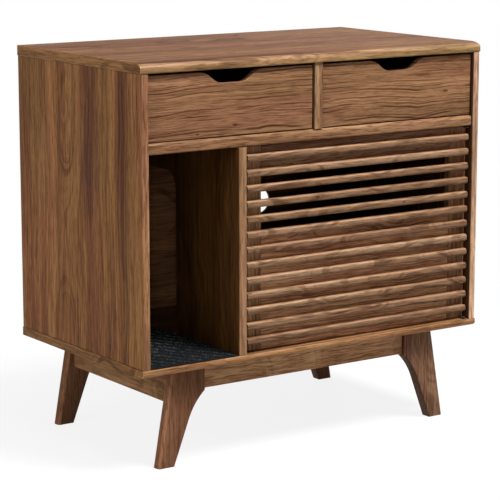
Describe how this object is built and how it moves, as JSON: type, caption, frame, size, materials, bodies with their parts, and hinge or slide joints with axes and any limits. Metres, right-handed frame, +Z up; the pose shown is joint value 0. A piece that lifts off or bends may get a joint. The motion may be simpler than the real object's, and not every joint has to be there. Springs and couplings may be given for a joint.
{
  "type": "cat litter box cabinet",
  "caption": "Low cabinet hiding a cat litter box: open entry bay, arched passage, slatted hinged door, drawers above, splayed legs.",
  "frame": {"origin": "on the floor under the middle of the cabinet", "axes": "+Z up, front and doors towards -Y, +X to the right when facing the front"},
  "size_m": [0.8, 0.46, 0.77],
  "materials": {
    "walnut_top": "satin walnut veneer",
    "walnut_side": "satin walnut veneer",
    "walnut_front": "satin walnut veneer",
    "walnut_edge": "satin walnut edge",
    "walnut_leg": "satin walnut stain",
    "drawer_board": "plain lining",
    "steel": "zinc plated",
    "bush_plastic": "moulded",
    "catch_plastic": "moulded",
    "mat_pile": "looped pile"
  },
  "bodies": {
    "cabinet": {"back_apron": "walnut_leg", "back_left_leg": "walnut_leg", "back_panel": "walnut_side", "back_right_leg": "walnut_leg", "bay_divider": "walnut_side", "bottom_panel": "walnut_top", "centre_divider": "walnut_edge", "drawer_shelf": "walnut_edge", "entry_mat": "mat_pile", "front_apron": "walnut_leg", "front_left_leg": "walnut_leg", "front_right_leg": "walnut_leg", "left_apron": "walnut_leg", "left_drawer_left_cabinet_slide": "steel", "left_drawer_right_cabinet_slide": "steel", "left_side_panel": "walnut_side", "lower_pivot_bush": "bush_plastic", "magnetic_catch": "catch_plastic", "right_apron": "walnut_leg", "right_drawer_left_cabinet_slide": "steel", "right_drawer_right_cabinet_slide": "steel", "right_side_panel": "walnut_side", "top_panel": "walnut_top", "upper_pivot_bush": "bush_plastic"},
    "left_drawer": {"left_drawer_back_wall": "drawer_board", "left_drawer_bottom": "drawer_board", "left_drawer_front": "walnut_front", "left_drawer_left_box_slide": "steel", "left_drawer_left_wall": "drawer_board", "left_drawer_right_box_slide": "steel", "left_drawer_right_wall": "drawer_board"},
    "right_drawer": {"right_drawer_back_wall": "drawer_board", "right_drawer_bottom": "drawer_board", "right_drawer_front": "walnut_front", "right_drawer_left_box_slide": "steel", "right_drawer_left_wall": "drawer_board", "right_drawer_right_box_slide": "steel", "right_drawer_right_wall": "drawer_board"},
    "door": {"catch_strike": "steel", "door_left_stile": "walnut_side", "door_lower_panel": "walnut_front", "door_right_stile": "walnut_side", "door_top_rail": "walnut_front", "lower_pivot_plate": "steel", "slat_01": "walnut_edge", "slat_02": "walnut_edge", "slat_03": "walnut_edge", "slat_04": "walnut_edge", "slat_05": "walnut_edge", "slat_06": "walnut_edge", "slat_07": "walnut_edge", "slat_08": "walnut_edge", "slat_09": "walnut_edge", "slat_10": "walnut_edge", "slat_11": "walnut_edge", "slat_12": "walnut_edge", "slat_13": "walnut_edge", "upper_pivot_plate": "steel"}
  },
  "joints": [
    {"name": "left_drawer_slide", "type": "slide", "parent": "cabinet", "child": "left_drawer", "axis": [0, -1, 0], "range_m": [0, 0.26]},
    {"name": "right_drawer_slide", "type": "slide", "parent": "cabinet", "child": "right_drawer", "axis": [0, -1, 0], "range_m": [0, 0.26]},
    {"name": "door_hinge", "type": "hinge", "parent": "cabinet", "child": "door", "pos_m": [0.3765, -0.219, 0.4], "axis": [0, 0, 1], "range_deg": [0, 95]}
  ]
}
